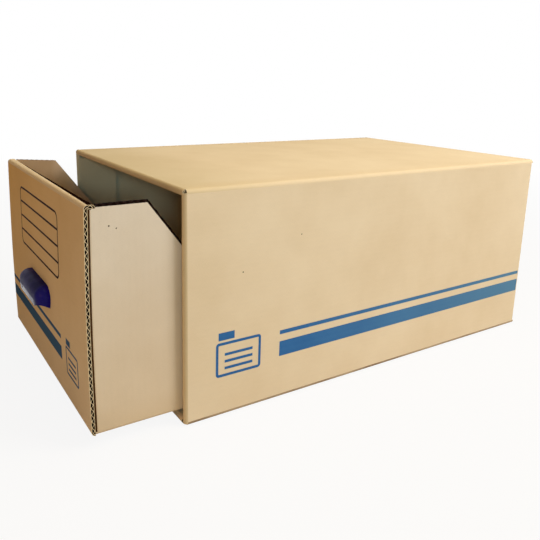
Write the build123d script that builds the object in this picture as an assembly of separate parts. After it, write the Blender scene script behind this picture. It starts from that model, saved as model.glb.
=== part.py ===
from build123d import *
import math
import os

# A corrugated board archive box: an outer sleeve with a drawer that slides out of its mouth.
# Millimetres. X runs across the box, Y along it with the drawer's front towards -Y, Z is up.
# The origin is the centre of the sleeve's underside. The drawer is drawn part of the way out.

# Board and folds
board = 4.0
fold_radius = 3.0
flap_relief = 1.0
cut_overrun = 5.0

# Sleeve
sleeve_width = 380.0
sleeve_length = 600.0
sleeve_height = 270.0
sleeve_crease_radius = 5.0
hem_depth = 60.0
hem_corner_cut = 12.0
hem_spring_angle = 8.2
rear_flap_window = 110.0
rear_seam_gap = 1.0
rear_flap_inset = 7.0
glue_flap_width = 35.0
glue_flap_setback = 2.0

# Drawer
drawer_pulled_out = 102.0
drawer_side_clearance = 2.0
drawer_seat_gap = 0.3
drawer_headroom = 0.8
drawer_rear_room = 4.0
drawer_back_height = 82.0
side_top_drop = 1.0
side_shoulder = 68.0
side_slope_angle = 53.0
lock_tab_width = 60.0
lock_tab_clearance = 0.5
corner_flap_margin = 6.0

# Pull
pull_width = 107.0
pull_height = 30.0
pull_depth = 17.0
pull_wall = 2.0
pull_lip_rise = 4.0
pull_offset = -13.5
pull_base_height = 91.5
peg_diameter = 5.0
peg_clearance = 0.3
post_diameter = 8.0
backplate_margin = 8.0

# Shares of the sizes that they follow
fold_limit_share = 0.8
lock_tab_place_share = 0.5
pull_round_share = 0.82
peg_spacing_share = 0.56
peg_rise_share = 0.3
backplate_gap_share = 0.5
peg_head_gap_share = 0.3

# Sleeve places
mouth_y = -sleeve_length / 2
back_y = sleeve_length / 2
nose_y = mouth_y + board
fold_round = min(fold_radius, board * fold_limit_share)
inner_half_width = sleeve_width / 2 - board
mouth_half_width = inner_half_width - board
hem_reach = hem_depth - board
spring = math.radians(hem_spring_angle)

# Drawer places
drawer_half_width = mouth_half_width - drawer_side_clearance
drawer_length = sleeve_length - 2 * board - drawer_rear_room
front_y = mouth_y - drawer_pulled_out
rear_y = front_y + drawer_length
hem_top_z = board + hem_reach * math.sin(spring) + board * math.cos(spring)
floor_z = hem_top_z + drawer_seat_gap
deck_z = floor_z + board
top_z = sleeve_height - 2 * board - drawer_headroom
back_top_z = floor_z + drawer_back_height
side_inner_x = drawer_half_width - board

# Pull places
pull_base_z = floor_z + pull_base_height
pull_round = pull_depth * pull_round_share
peg_spacing = pull_width * peg_spacing_share
peg_z = pull_base_z + pull_height * peg_rise_share
peg_radius = peg_diameter / 2
peg_hole_radius = peg_radius + peg_clearance
peg_places = [pull_offset - peg_spacing / 2, pull_offset + peg_spacing / 2]
backplate_thickness = board * backplate_gap_share
peg_head_thickness = board * peg_head_gap_share
flap_end_x = abs(pull_offset) + peg_spacing / 2 + backplate_margin + corner_flap_margin


def slab(x_span, y_span, z_span):
    # A box between two places on each axis
    sizes = [max(span) - min(span) for span in (x_span, y_span, z_span)]
    middles = [sum(span) / 2 for span in (x_span, y_span, z_span)]
    return Pos(*middles) * Box(*sizes)


def rounded(solid, along, places):
    # Rounds the edges that run along one axis through the given places
    chosen = []
    for edge in solid.edges().filter_by(along):
        middle = edge.center()
        for place in places:
            chosen += [edge] if (middle - place).length < fold_round else []
    return fillet(chosen, fold_round)


def mirrored(solid):
    return mirror(solid, about=Plane.YZ)


# Sleeve: four walls of one tube, mitred at the rounded creases between them
def sleeve_wall(points, end_y):
    ring = RectangleRounded(sleeve_width, sleeve_height, sleeve_crease_radius)
    ring -= Rectangle(sleeve_width - 2 * board, sleeve_height - 2 * board)
    section = Pos(0, sleeve_height / 2) * ring & make_face(Polyline(*points, close=True))
    return extrude(Plane.XZ.offset(-end_y) * section, amount=end_y - nose_y)


def level_wall(edge_z, inward):
    x_out = sleeve_width / 2
    x_in = x_out - 2 * board
    z_in = edge_z + 2 * board * inward
    points = [(-x_out, edge_z), (x_out, edge_z), (x_in, z_in), (-x_in, z_in)]
    return sleeve_wall(points, back_y - board)


def side_wall():
    x_out = sleeve_width / 2
    x_in = x_out - 2 * board
    z_top = sleeve_height - 2 * board
    points = [(x_out, 0), (x_out, sleeve_height), (x_in, z_top), (x_in, 2 * board)]
    return sleeve_wall(points, back_y - 2 * board)


# The mouth's hems: each wall's front flap turned back inside, with a rounded nose.
# Drawn lying under a wall whose inner face is at z = 0, with the opening below it.
def hem(nose_length, flap_length, lift):
    half = flap_length / 2
    cut = hem_corner_cut
    outline = Polyline(
        (-half, 0), (half, 0), (half, hem_reach - cut), (half - cut, hem_reach),
        (cut - half, hem_reach), (-half, hem_reach - cut), close=True,
    )
    flap = Rot(-lift, 0, 0) * extrude(make_face(outline), amount=-board)
    section = Circle(board) & Pos(-board, 0) * Rectangle(2 * board, 2 * board)
    nose = Pos(-nose_length / 2, 0, 0) * extrude(Plane.YZ * section, amount=nose_length)
    return Pos(0, nose_y, 0) * (nose + flap)


def level_hem(lift):
    nose_length = 2 * (inner_half_width - flap_relief)
    flap_length = 2 * (mouth_half_width - flap_relief)
    return hem(nose_length, flap_length, lift)


def side_hem():
    length = sleeve_height - 4 * board - 2 * flap_relief
    place = Pos(inner_half_width, 0, sleeve_height / 2)
    return place * Rot(0, 90, 0) * hem(length, length, 0)


# The closed rear: side flaps folded in first, then the top and bottom flaps over them
def rear_side_flap():
    x_out = sleeve_width / 2
    y_out = back_y - board
    z_low = max(board + flap_relief, sleeve_crease_radius)
    flap = slab((rear_flap_window / 2, x_out), (y_out - board, y_out), (z_low, sleeve_height - z_low))
    return rounded(flap, Axis.Z, [Vector(x_out, y_out, sleeve_height / 2)])


def rear_level_flap(edge_z, inward):
    half = sleeve_width / 2 - rear_flap_inset
    seam_z = (sleeve_height - inward * rear_seam_gap) / 2
    flap = slab((-half, half), (back_y - board, back_y), (edge_z, seam_z))
    return rounded(flap, Axis.X, [Vector(0, back_y, edge_z)])


def glue_flap():
    x_span = (-inner_half_width, board - inner_half_width)
    y_span = (mouth_y + hem_depth + glue_flap_setback, back_y - 2 * board - flap_relief)
    return slab(x_span, y_span, (board, board + glue_flap_width))


# Drawer ends: an outer board that rolls over the top and comes down inside as a second board,
# with the side walls' corner flaps caught between the two. Layers count inwards from the face.
def layers(face_y, inward, first, last):
    return (face_y + inward * board * first, face_y + inward * board * last)


def end_outer(face_y, inward, end_top):
    spans = ((-drawer_half_width, drawer_half_width), layers(face_y, inward, 0, 1))
    panel = slab(*spans, (floor_z, end_top - board))
    return rounded(panel, Axis.X, [Vector(0, face_y, floor_z)])


def end_roll(face_y, inward, end_top):
    y_span = layers(face_y, inward, 0, 3)
    roll = slab((-drawer_half_width, drawer_half_width), y_span, (end_top - board, end_top))
    return rounded(roll, Axis.X, [Vector(0, y, end_top) for y in y_span])


def end_inner(face_y, inward, end_top):
    half = side_inner_x - flap_relief
    y_span = layers(face_y, inward, 2, 3)
    panel = slab((-half, half), y_span, (deck_z, end_top - board))
    for tab in lock_tabs(y_span, 0):
        panel += tab
    return panel


def lock_tabs(y_span, grown):
    y_wide = (min(y_span) - grown, max(y_span) + grown)
    half = lock_tab_width / 2 + grown
    z_span = (floor_z + lock_tab_clearance - 2 * grown, deck_z + grown)
    tabs = []
    for side in (-1, 1):
        x = side * side_inner_x * lock_tab_place_share
        tabs.append(slab((x - half, x + half), y_wide, z_span))
    return tabs


def corner_flap(face_y, inward, end_top):
    y_span = layers(face_y, inward, 1, 2)
    z_span = (deck_z + flap_relief, end_top - board - flap_relief)
    return slab((flap_end_x, side_inner_x), y_span, z_span)


def drawer_bottom():
    x_span = (-drawer_half_width, drawer_half_width)
    y_span = (front_y + board, rear_y - board)
    panel = slab(x_span, y_span, (floor_z, deck_z))
    panel = rounded(panel, Axis.Y, [Vector(x, sum(y_span) / 2, floor_z) for x in x_span])
    for face_y, inward in ((front_y, 1), (rear_y, -1)):
        for slot in lock_tabs(layers(face_y, inward, 2, 3), lock_tab_clearance):
            panel -= slot
    return panel


def drawer_side():
    high = top_z - side_top_drop
    low = back_top_z - side_top_drop
    knee_y = front_y + side_shoulder
    foot_y = knee_y + (high - low) / math.tan(math.radians(side_slope_angle))
    outline = Polyline(
        (front_y + board, deck_z), (rear_y - board, deck_z),
        (rear_y - board, back_top_z - board), (rear_y - 3 * board, back_top_z - board),
        (rear_y - 3 * board, low), (foot_y, low), (knee_y, high),
        (front_y + 3 * board, high), (front_y + 3 * board, top_z - board),
        (front_y + board, top_z - board), close=True,
    )
    return Pos(side_inner_x, 0, 0) * extrude(Plane.YZ * make_face(outline), amount=board)


# Pull: a moulded cup open at the bottom, pegged through the outer front board to a backplate
def rod(x, radius, y_span):
    length = max(y_span) - min(y_span)
    return Pos(x, sum(y_span) / 2, peg_z) * Rot(90, 0, 0) * Cylinder(radius, length)


def dome(shrink):
    # A block whose front, top and ends are rounded into each other
    half_width = pull_width / 2 - shrink
    x_span = (pull_offset - half_width, pull_offset + half_width)
    y_span = (front_y - pull_depth + shrink, front_y)
    block = slab(x_span, y_span, (pull_base_z, pull_base_z + pull_height - shrink))
    middles = [(edge, edge.center()) for edge in block.edges()]
    outer = [edge for edge, at in middles if at.Y < front_y - pull_wall and at.Z > pull_base_z + pull_wall]
    return fillet(outer, pull_round - shrink)


def pull_cup():
    reach = pull_depth + cut_overrun
    rise = pull_lip_rise * reach / pull_depth
    ceiling = pull_height + cut_overrun
    outline = Polyline((0, 0), (-reach, rise), (-reach, ceiling), (0, ceiling), close=True)
    place = Pos(pull_offset - pull_width / 2, front_y, pull_base_z)
    space = place * extrude(Plane.YZ * make_face(outline), amount=pull_width)
    solid_dome = dome(0) & space
    cup = solid_dome - dome(pull_wall)
    plate_y = front_y + board + backplate_thickness
    head_y = plate_y + peg_head_thickness
    for x in peg_places:
        cup += rod(x, post_diameter / 2, (front_y - pull_depth, front_y)) & solid_dome
        cup += rod(x, peg_radius, (front_y, head_y))
        cup += rod(x, post_diameter / 2, (plate_y, head_y))
    return cup


def peg_holes(solid, y_span):
    for x in peg_places:
        solid -= rod(x, peg_hole_radius, (min(y_span) - cut_overrun, max(y_span) + cut_overrun))
    return solid


def pull_backplate():
    y_span = (front_y + board, front_y + board + backplate_thickness)
    outline = SlotCenterToCenter(peg_spacing, 2 * backplate_margin)
    plate = Pos(pull_offset, max(y_span), peg_z) * extrude(Plane.XZ * outline, amount=backplate_thickness)
    return peg_holes(plate, y_span)


right_wall = side_wall()
right_hem = side_hem()
right_rear_flap = rear_side_flap()
right_side = drawer_side()
front_flap = corner_flap(front_y, 1, top_z)
rear_flap = corner_flap(rear_y, -1, back_top_z)

pieces = {
    "sleeve_bottom_panel": level_wall(0, 1),
    "sleeve_top_panel": level_wall(sleeve_height, -1),
    "sleeve_right_panel": right_wall,
    "sleeve_left_panel": mirrored(right_wall),
    "sleeve_glue_flap": glue_flap(),
    "sleeve_hem_top": Pos(0, 0, sleeve_height - board) * level_hem(0),
    "sleeve_hem_bottom": Pos(0, 0, board) * Rot(0, 180, 0) * level_hem(hem_spring_angle),
    "sleeve_hem_right": right_hem,
    "sleeve_hem_left": mirrored(right_hem),
    "sleeve_rear_flap_right": right_rear_flap,
    "sleeve_rear_flap_left": mirrored(right_rear_flap),
    "sleeve_rear_flap_top": rear_level_flap(sleeve_height, -1),
    "sleeve_rear_flap_bottom": rear_level_flap(0, 1),
    "drawer_bottom_panel": drawer_bottom(),
    "drawer_side_right": right_side,
    "drawer_side_left": mirrored(right_side),
    "drawer_front_outer": peg_holes(end_outer(front_y, 1, top_z), layers(front_y, 1, 0, 1)),
    "drawer_front_roll": end_roll(front_y, 1, top_z),
    "drawer_front_inner": end_inner(front_y, 1, top_z),
    "drawer_front_flap_right": front_flap,
    "drawer_front_flap_left": mirrored(front_flap),
    "drawer_back_outer": end_outer(rear_y, -1, back_top_z),
    "drawer_back_roll": end_roll(rear_y, -1, back_top_z),
    "drawer_back_inner": end_inner(rear_y, -1, back_top_z),
    "drawer_back_flap_right": rear_flap,
    "drawer_back_flap_left": mirrored(rear_flap),
    "pull_cup": pull_cup(),
    "pull_backplate": pull_backplate(),
}

os.makedirs("parts", exist_ok=True)
for name, piece in pieces.items():
    export_step(piece, f"parts/{name}.step")
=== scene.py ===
import math
import bmesh
import bpy
from mathutils import Matrix, Vector, noise


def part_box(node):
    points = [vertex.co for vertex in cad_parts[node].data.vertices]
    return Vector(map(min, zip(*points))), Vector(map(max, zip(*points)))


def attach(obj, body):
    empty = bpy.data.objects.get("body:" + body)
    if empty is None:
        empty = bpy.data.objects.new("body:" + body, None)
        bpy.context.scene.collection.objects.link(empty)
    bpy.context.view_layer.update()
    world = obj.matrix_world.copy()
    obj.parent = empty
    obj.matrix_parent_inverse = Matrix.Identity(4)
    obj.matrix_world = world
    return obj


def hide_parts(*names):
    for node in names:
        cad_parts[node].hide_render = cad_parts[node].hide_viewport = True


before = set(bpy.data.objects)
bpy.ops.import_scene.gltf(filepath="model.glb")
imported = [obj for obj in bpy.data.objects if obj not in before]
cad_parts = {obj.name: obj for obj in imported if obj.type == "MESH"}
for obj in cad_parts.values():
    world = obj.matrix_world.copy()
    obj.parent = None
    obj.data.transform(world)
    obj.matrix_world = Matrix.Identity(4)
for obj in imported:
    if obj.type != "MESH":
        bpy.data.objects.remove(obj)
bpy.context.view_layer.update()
scene = bpy.context.scene

# sizes read from the frame
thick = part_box("sleeve_glue_flap")[1].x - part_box("sleeve_glue_flap")[0].x
half = thick / 2
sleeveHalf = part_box("sleeve_right_panel")[1].x
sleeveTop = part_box("sleeve_top_panel")[1].z
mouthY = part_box("sleeve_hem_top")[0].y
noseY = mouthY + thick
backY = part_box("sleeve_rear_flap_top")[1].y
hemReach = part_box("sleeve_hem_top")[1].y - noseY
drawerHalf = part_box("drawer_side_right")[1].x
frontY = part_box("drawer_front_outer")[0].y
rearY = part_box("drawer_back_outer")[1].y
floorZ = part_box("drawer_bottom_panel")[0].z
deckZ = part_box("drawer_bottom_panel")[1].z
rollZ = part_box("drawer_front_roll")[1].z
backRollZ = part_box("drawer_back_roll")[1].z

board = {
    "liner": 0.00050,
    "medium": 0.00070,
    "pitch": 0.0074,
    "waveSteps": 8,
    "crush": 0.4,  # flute height left inside a crease
    "foldRadius": 0.0022,
    "tubeRadius": 0.003,
    "footRadius": 0.0032,
    "grain": 0.03,  # longest face on a flat run
    "bendStep": 15.0,  # degrees per face in a bend
    "fewestSteps": 4,  # faces across the flutes of the narrowest piece
    "wearReach": 0.005,
    "creaseWear": 0.999,  # fold wear that only the crease itself reaches
    "pinch": 0.6,  # thickness lost at a crushed side edge
    "pinchReach": 0.0025,
    "sharp": 40.0,  # degrees from which an edge stays sharp
    "fluteSharp": 80.0,
}
tiny = {"path": 1e-9, "cut": 1e-7, "pull": 1e-6}  # lengths that count as nothing


# folding: a board is laid flat as (a, s, w), a along the crease, s across it, w through its thickness
def foldPath(start, heading, steps):
    place, way, done, legs = Vector(start), Vector(heading), 0.0, []
    for kind, amount, radius in steps:
        left = Vector((-way.y, way.x))  # the printed face is always on the left
        leg = {"from": done, "place": place, "way": way, "left": left, "bend": kind == "bend"}
        if kind == "bend":
            turn = math.radians(amount)
            leg.update(length=turn * radius, centre=place - left * radius, radius=radius, turn=amount)
            place = leg["centre"] + (Matrix.Rotation(-turn, 2) @ left) * radius
            way = Matrix.Rotation(-turn, 2) @ way
        else:
            leg.update(length=amount)
            place = place + way * amount
        done += leg["length"]
        legs.append(leg)
    return legs


def run(length):
    return ("run", length, 0.0)


def bend(degrees, radius=None):
    return ("bend", degrees, radius or board["foldRadius"])


def pathLength(legs):
    return legs[-1]["from"] + legs[-1]["length"]


def onPath(legs, s, w):
    leg = legs[0]
    for other in legs:
        if other["from"] <= s + tiny["path"]:
            leg = other
    if leg["bend"]:
        out = Matrix.Rotation(-(s - leg["from"]) / leg["radius"], 2) @ leg["left"]
        return leg["centre"] + out * (leg["radius"] + w)
    return leg["place"] + leg["way"] * (s - leg["from"]) + leg["left"] * w


def pathLines(legs):
    lines = []
    for leg in legs:
        faces = leg["turn"] / board["bendStep"] if leg["bend"] else leg["length"] / board["grain"]
        faces = max(1, math.ceil(faces))
        lines += [leg["from"] + leg["length"] * i / faces for i in range(faces)]
    return lines[1:]


def foldWear(legs, s):
    near = 1.0
    for leg in legs:
        if leg["bend"]:
            away = max(leg["from"] - s, s - leg["from"] - leg["length"], 0.0)
            near = min(near, away / board["wearReach"])
    return 1.0 - near


def inCrease(legs, s):
    return foldWear(legs, s) > board["creaseWear"]


def evenLines(low, high, step):
    count = max(1, math.ceil((high - low) / step))
    return [low + (high - low) * i / count for i in range(1, count)]


# sheet making
def flatSheet(aSpan, sSpan, aParts=1, sParts=1):
    bm = bmesh.new()
    bmesh.ops.create_grid(bm, x_segments=aParts, y_segments=sParts, size=0.5)
    low = Vector((aSpan[0], sSpan[0], 0))
    size = Vector((aSpan[1] - aSpan[0], sSpan[1] - sSpan[0], 1))
    bmesh.ops.translate(bm, verts=bm.verts, vec=(0.5, 0.5, 0))
    bmesh.ops.scale(bm, verts=bm.verts, vec=size)
    bmesh.ops.translate(bm, verts=bm.verts, vec=low)
    return bm


def cutAt(bm, point, normal, **options):
    geom = bm.verts[:] + bm.edges[:] + bm.faces[:]
    bmesh.ops.bisect_plane(bm, geom=geom, plane_co=point, plane_no=normal, **options)


def cutLines(bm, aLines, sLines, slants=()):
    planes = [((at, 0, 0), (1, 0, 0)) for at in aLines] + [((0, at, 0), (0, 1, 0)) for at in sLines]
    for point, normal in planes + list(slants):
        cutAt(bm, point, normal, dist=tiny["cut"])


def keepFaces(bm, keep):
    away = [f for f in bm.faces if not keep(*f.calc_center_median().xy)]
    bmesh.ops.delete(bm, geom=away, context="FACES")


def thicken(bm, low, high):
    bmesh.ops.translate(bm, verts=bm.verts, vec=(0, 0, low))
    made = bmesh.ops.extrude_face_region(bm, geom=bm.faces[:], use_keep_orig=True)
    lifted = [v for v in made["geom"] if isinstance(v, bmesh.types.BMVert)]
    bmesh.ops.translate(bm, verts=lifted, vec=(0, 0, high - low))


def planMap(bm, fluteWay):
    plan = bm.loops.layers.uv.new("boardPlan")  # u along the flutes, v across them, in metres
    for f in bm.faces:
        for loop in f.loops:
            co = loop.vert.co
            loop[plan].uv = (co.x, co.y) if fluteWay == "a" else (co.y, co.x)


def setDown(axis, a, spot):
    return Vector({"x": (a, spot.x, spot.y), "y": (spot.x, a, spot.y), "z": (spot.x, spot.y, a)}[axis])


def foldUp(bm, axis, legs, settle):
    wear = bm.verts.layers.float.new("foldWear")
    for v in bm.verts:
        a, s, w = v.co
        v[wear] = foldWear(legs, s)
        v.co = setDown(axis, a, onPath(legs, s, w))
        if settle:
            v.co = settle(v.co)


def joined(sheets):
    whole = bmesh.new()
    for sheet in sheets:
        mesh = bpy.data.meshes.new("part")
        sheet.to_mesh(mesh)
        sheet.free()
        whole.from_mesh(mesh)
        bpy.data.meshes.remove(mesh)
    return whole


def finishPiece(bm, name, body, materials, nodes=(), sharp=board["sharp"]):
    bmesh.ops.recalc_face_normals(bm, faces=bm.faces)
    mesh = bpy.data.meshes.new(name)
    bm.to_mesh(mesh)
    bm.free()
    mesh.shade_smooth()
    mesh.set_sharp_from_angle(angle=math.radians(sharp))
    for material in materials:
        mesh.materials.append(material)
    piece = bpy.data.objects.new(name, mesh)
    scene.collection.objects.link(piece)
    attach(piece, body)
    if nodes:
        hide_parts(*nodes)


# shader helpers
def makeGroup(name, vectors, values):
    tree = bpy.data.node_groups.new(name, "ShaderNodeTree")
    for label in vectors:
        tree.interface.new_socket(name=label, in_out="INPUT", socket_type="NodeSocketVector")
    for label in values:
        tree.interface.new_socket(name=label, in_out="OUTPUT", socket_type="NodeSocketFloat")
    return tree, tree.nodes.new("NodeGroupInput"), tree.nodes.new("NodeGroupOutput")


def addNode(tree, kind, settings=None, **links):
    node = tree.nodes.new(kind)
    for key, value in (settings or {}).items():
        if key in node.inputs.keys():
            node.inputs[key].default_value = value
        else:
            setattr(node, key, value)
    for key, source in links.items():
        tree.links.new(source, node.inputs[key])
    return node


def mathNode(tree, operation, first, second, clamp=False):
    node = tree.nodes.new("ShaderNodeMath")
    node.operation = operation
    node.use_clamp = clamp
    for socket, value in zip(node.inputs, (first, second)):
        if isinstance(value, (int, float)):
            socket.default_value = value
        elif value is not None:
            tree.links.new(value, socket)
    return node.outputs[0]


def rangeNode(tree, value, low, high, toLow=0.0, toHigh=1.0):
    node = tree.nodes.new("ShaderNodeMapRange")
    tree.links.new(value, node.inputs["Value"])
    for key, number in (("From Min", low), ("From Max", high), ("To Min", toLow), ("To Max", toHigh)):
        node.inputs[key].default_value = number
    return node.outputs["Result"]


def mixColour(tree, factor, first, second, blend="MIX"):
    node = tree.nodes.new("ShaderNodeMix")
    node.data_type = "RGBA"
    node.blend_type = blend
    for socket, value in ((node.inputs[0], factor), (node.inputs[6], first), (node.inputs[7], second)):
        if isinstance(value, (int, float, tuple)):
            socket.default_value = value
        else:
            tree.links.new(value, socket)
    return node.outputs[2]


def srgb(red, green, blue):
    def line(value):
        value /= 255
        return value / 12.92 if value <= 0.04045 else ((value + 0.055) / 1.055) ** 2.4
    return (line(red), line(green), line(blue), 1.0)


# how much of each noise shows in the paper
paperGrain = {"cloud": (0.3, 0.7), "fibre": (0.25, 0.75), "rub": (0.35, 0.65, 0.3, 1.0),
              "fleck": (0.78, 0.82), "gloss": (0.2, 0.8), "glossSwing": 0.08, "bumpDepth": 0.001}


def fibreGroup():
    tree, given, out = makeGroup("paperFibres", ("Plan", "Place"), ("Cloud", "Fibre", "Fleck"))
    cloudy = {"Scale": 9.0, "Detail": 4.0, "Roughness": 0.6}
    cloud = addNode(tree, "ShaderNodeTexNoise", cloudy, Vector=given.outputs["Place"])
    stretched = {"Scale": (2600.0, 420.0, 1.0)}
    stretch = addNode(tree, "ShaderNodeMapping", stretched, Vector=given.outputs["Plan"])
    stringy = {"Scale": 1.0, "Detail": 3.0, "Roughness": 0.65}
    fibre = addNode(tree, "ShaderNodeTexNoise", stringy, Vector=stretch.outputs["Vector"])
    fine = {"Scale": 520.0, "Detail": 1.0}
    speck = addNode(tree, "ShaderNodeTexNoise", fine, Vector=given.outputs["Place"])
    tree.links.new(cloud.outputs["Fac"], out.inputs["Cloud"])
    tree.links.new(fibre.outputs["Fac"], out.inputs["Fibre"])
    tree.links.new(rangeNode(tree, speck.outputs["Fac"], *paperGrain["fleck"]), out.inputs["Fleck"])
    return tree


def washboardGroup():
    tree, given, out = makeGroup("fluteWashboard", ("Plan",), ("Ridge",))
    across = addNode(tree, "ShaderNodeSeparateXYZ", Vector=given.outputs["Plan"]).outputs["Y"]
    turns = mathNode(tree, "DIVIDE", across, board["pitch"])
    wave = mathNode(tree, "SINE", mathNode(tree, "MULTIPLY", turns, 2 * math.pi), None)
    tree.links.new(rangeNode(tree, wave, -1.0, 1.0), out.inputs["Ridge"])
    return tree


fibres = fibreGroup()
washboard = washboardGroup()


def newMaterial(name, specular):
    material = bpy.data.materials.new(name)
    material.use_nodes = True
    shader = material.node_tree.nodes["Principled BSDF"]
    shader.inputs["Specular IOR Level"].default_value = specular
    return material, material.node_tree, shader


def paperNodes(tree):
    plan = addNode(tree, "ShaderNodeUVMap", {"uv_map": "boardPlan"}).outputs["UV"]
    place = addNode(tree, "ShaderNodeTexCoord").outputs["Object"]
    paper = addNode(tree, "ShaderNodeGroup", {"node_tree": fibres}, Plan=plan, Place=place)
    ribs = addNode(tree, "ShaderNodeGroup", {"node_tree": washboard}, Plan=plan)
    return place, paper, ribs


def paperFinish(tree, shader, paper, rough, height, bump):
    swing = paperGrain["glossSwing"]
    gloss = rangeNode(tree, paper.outputs["Fibre"], *paperGrain["gloss"], rough - swing, rough + swing)
    tree.links.new(gloss, shader.inputs["Roughness"])
    relief = addNode(tree, "ShaderNodeBump", bump, Height=height)
    tree.links.new(relief.outputs["Normal"], shader.inputs["Normal"])


def driftNode(tree, place, along):
    axes = addNode(tree, "ShaderNodeSeparateXYZ", Vector=place)
    total = 0.0
    for axis, low, high, share in along:
        total = mathNode(tree, "ADD", rangeNode(tree, axes.outputs[axis], low, high, 0.0, share), total)
    return total


def boardMaterial(name, look):
    material, tree, shader = newMaterial(name, look["specular"])
    place, paper, ribs = paperNodes(tree)
    wear = addNode(tree, "ShaderNodeAttribute", {"attribute_name": "foldWear"}).outputs["Fac"]
    cloudy = rangeNode(tree, paper.outputs["Cloud"], *paperGrain["cloud"])
    colour = mixColour(tree, cloudy, look["dark"], look["light"])
    if "drift" in look:  # the paper's tone changes slowly along the piece
        far = mixColour(tree, cloudy, look["drift"]["dark"], look["drift"]["light"])
        colour = mixColour(tree, driftNode(tree, place, look["drift"]["along"]), colour, far)
    grain = rangeNode(tree, paper.outputs["Fibre"], *paperGrain["fibre"], -look["fibre"], look["fibre"])
    ridge = rangeNode(tree, ribs.outputs["Ridge"], 0.0, 1.0, -look["ribs"], look["ribs"])
    shade = mathNode(tree, "ADD", mathNode(tree, "ADD", grain, ridge), 1.0)
    tint = addNode(tree, "ShaderNodeCombineXYZ", X=shade, Y=shade, Z=shade).outputs["Vector"]
    colour = mixColour(tree, 1.0, colour, tint, "MULTIPLY")
    rubbed = mathNode(tree, "MULTIPLY", wear, rangeNode(tree, paper.outputs["Cloud"], *paperGrain["rub"]))
    colour = mixColour(tree, mathNode(tree, "MULTIPLY", rubbed, look["wear"]), colour, look["rub"])
    flecked = mathNode(tree, "MULTIPLY", paper.outputs["Fleck"], look["fleck"])
    tree.links.new(mixColour(tree, flecked, colour, look["speck"]), shader.inputs["Base Color"])
    ribHeight = mathNode(tree, "MULTIPLY", ribs.outputs["Ridge"], look["ribBump"])
    fibreHeight = mathNode(tree, "MULTIPLY", paper.outputs["Fibre"], look["fibreBump"])
    height = mathNode(tree, "ADD", ribHeight, fibreHeight)
    bump = {"Strength": 1.0, "Distance": paperGrain["bumpDepth"]}
    paperFinish(tree, shader, paper, look["rough"], height, bump)
    return material


kraftTones = {"light": srgb(227, 202, 165), "dark": srgb(218, 191, 152)}
kraftLook = dict(
    kraftTones, rub=srgb(212, 178, 130), speck=srgb(120, 92, 60), fibre=0.05, ribs=0.003, wear=0.35,
    fleck=0.2, rough=0.80, specular=0.25, ribBump=0.014, fibreBump=0.03,
)
# a drift runs to its own tones by axis, from, to and share
frontShadeDrift = (("X", -drawerHalf, drawerHalf, 0.5), ("Z", rollZ, floorZ, 0.5))  # painted shade, darkest at the far top corner
# painted shade: the drawer's front is darker and warmer than the kraft, and its drift lightens it towards the
# near foot
frontShadedLook = dict(kraftLook, light=srgb(220, 174, 101), dark=srgb(210, 163, 91), rub=srgb(226, 194, 144),
                 drift=dict(kraftTones, along=frontShadeDrift))
mouthShade = 0.13  # how far in from the mouth the top is painted darker: painted shade towards the open front
mouthShadedLook = dict(kraftLook, light=srgb(210, 186, 146), dark=srgb(201, 176, 134),
                 drift=dict(kraftTones, along=(("Y", mouthY, mouthY + mouthShade, 1.0),)))
# painted light: the drawer's sides are greyer and paler at the top, warmer and darker towards the foot
drawerSideLitLook = dict(kraftLook, light=srgb(222, 204, 180), dark=srgb(213, 193, 166),
                      drift={"light": srgb(219, 193, 158), "dark": srgb(210, 182, 145),
                             "along": (("Z", rollZ, floorZ, 1.0),)})
sleeveInnerLook = dict(kraftLook, light=srgb(206, 193, 160), dark=srgb(194, 181, 149),
                       rub=srgb(190, 172, 138))
innerShade = (0.060, 0.105)  # the drawer's inside is brown up to the first, pale from the second: painted light and shade, darker near the front and paler where depth shades it
drawerInnerShadedLook = dict(kraftLook, light=srgb(172, 137, 98), dark=srgb(158, 123, 86), rub=srgb(150, 116, 80),
                       drift={"light": srgb(222, 194, 164), "dark": srgb(208, 178, 148),
                              "along": (("Y", frontY + innerShade[0], frontY + innerShade[1], 1.0),)})
footShadeLook = dict(kraftLook, rub=srgb(136, 106, 72), wear=0.9)  # painted shade: the bottom creases darkened where the box meets the floor
# painted shade: near black for the flutes' shadowed insides
tunnelShadeLook = dict(kraftLook, light=srgb(34, 16, 9), dark=srgb(24, 11, 6), rub=srgb(34, 16, 9), ribs=0.0,
                  ribBump=0.0, specular=0.05)
# painted shade: the groove where a drawer corner folds behind the front
seamShadeLook = dict(tunnelShadeLook, light=srgb(96, 64, 36), dark=srgb(82, 54, 30), rub=srgb(88, 58, 32))
cutLook = dict(kraftLook, light=srgb(228, 203, 160), dark=srgb(208, 180, 136), rub=srgb(214, 186, 140),
               ribs=0.0, ribBump=0.0)
kraft = boardMaterial("kraftLiner", kraftLook)
frontShadedKraft = boardMaterial("frontShadedLiner", frontShadedLook)
mouthShadedKraft = boardMaterial("mouthShadedLiner", mouthShadedLook)
drawerSideLitKraft = boardMaterial("drawerSideLitLiner", drawerSideLitLook)
footShadedKraft = boardMaterial("footShadedLiner", footShadeLook)
innerKraft = {
    "sleeve": boardMaterial("sleeveInnerLiner", sleeveInnerLook),
    "drawer": boardMaterial("drawerInnerShadedLiner", drawerInnerShadedLook),
}
tunnelShadeKraft = boardMaterial("fluteTunnelShade", tunnelShadeLook)  # the faces shut in between the liners, near black: painted shade inside the flutes
cutKraft = boardMaterial("cutEdge", cutLook)
seamShadeKraft = boardMaterial("seamShadeLiner", seamShadeLook)
# painted shade: near black, for the dark line behind the drawer's roll
rollShadeKraft = boardMaterial("rollShadeLiner", dict(tunnelShadeLook, specular=0.0))
settlers = {}  # how a body's boards have settled out of true


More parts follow.
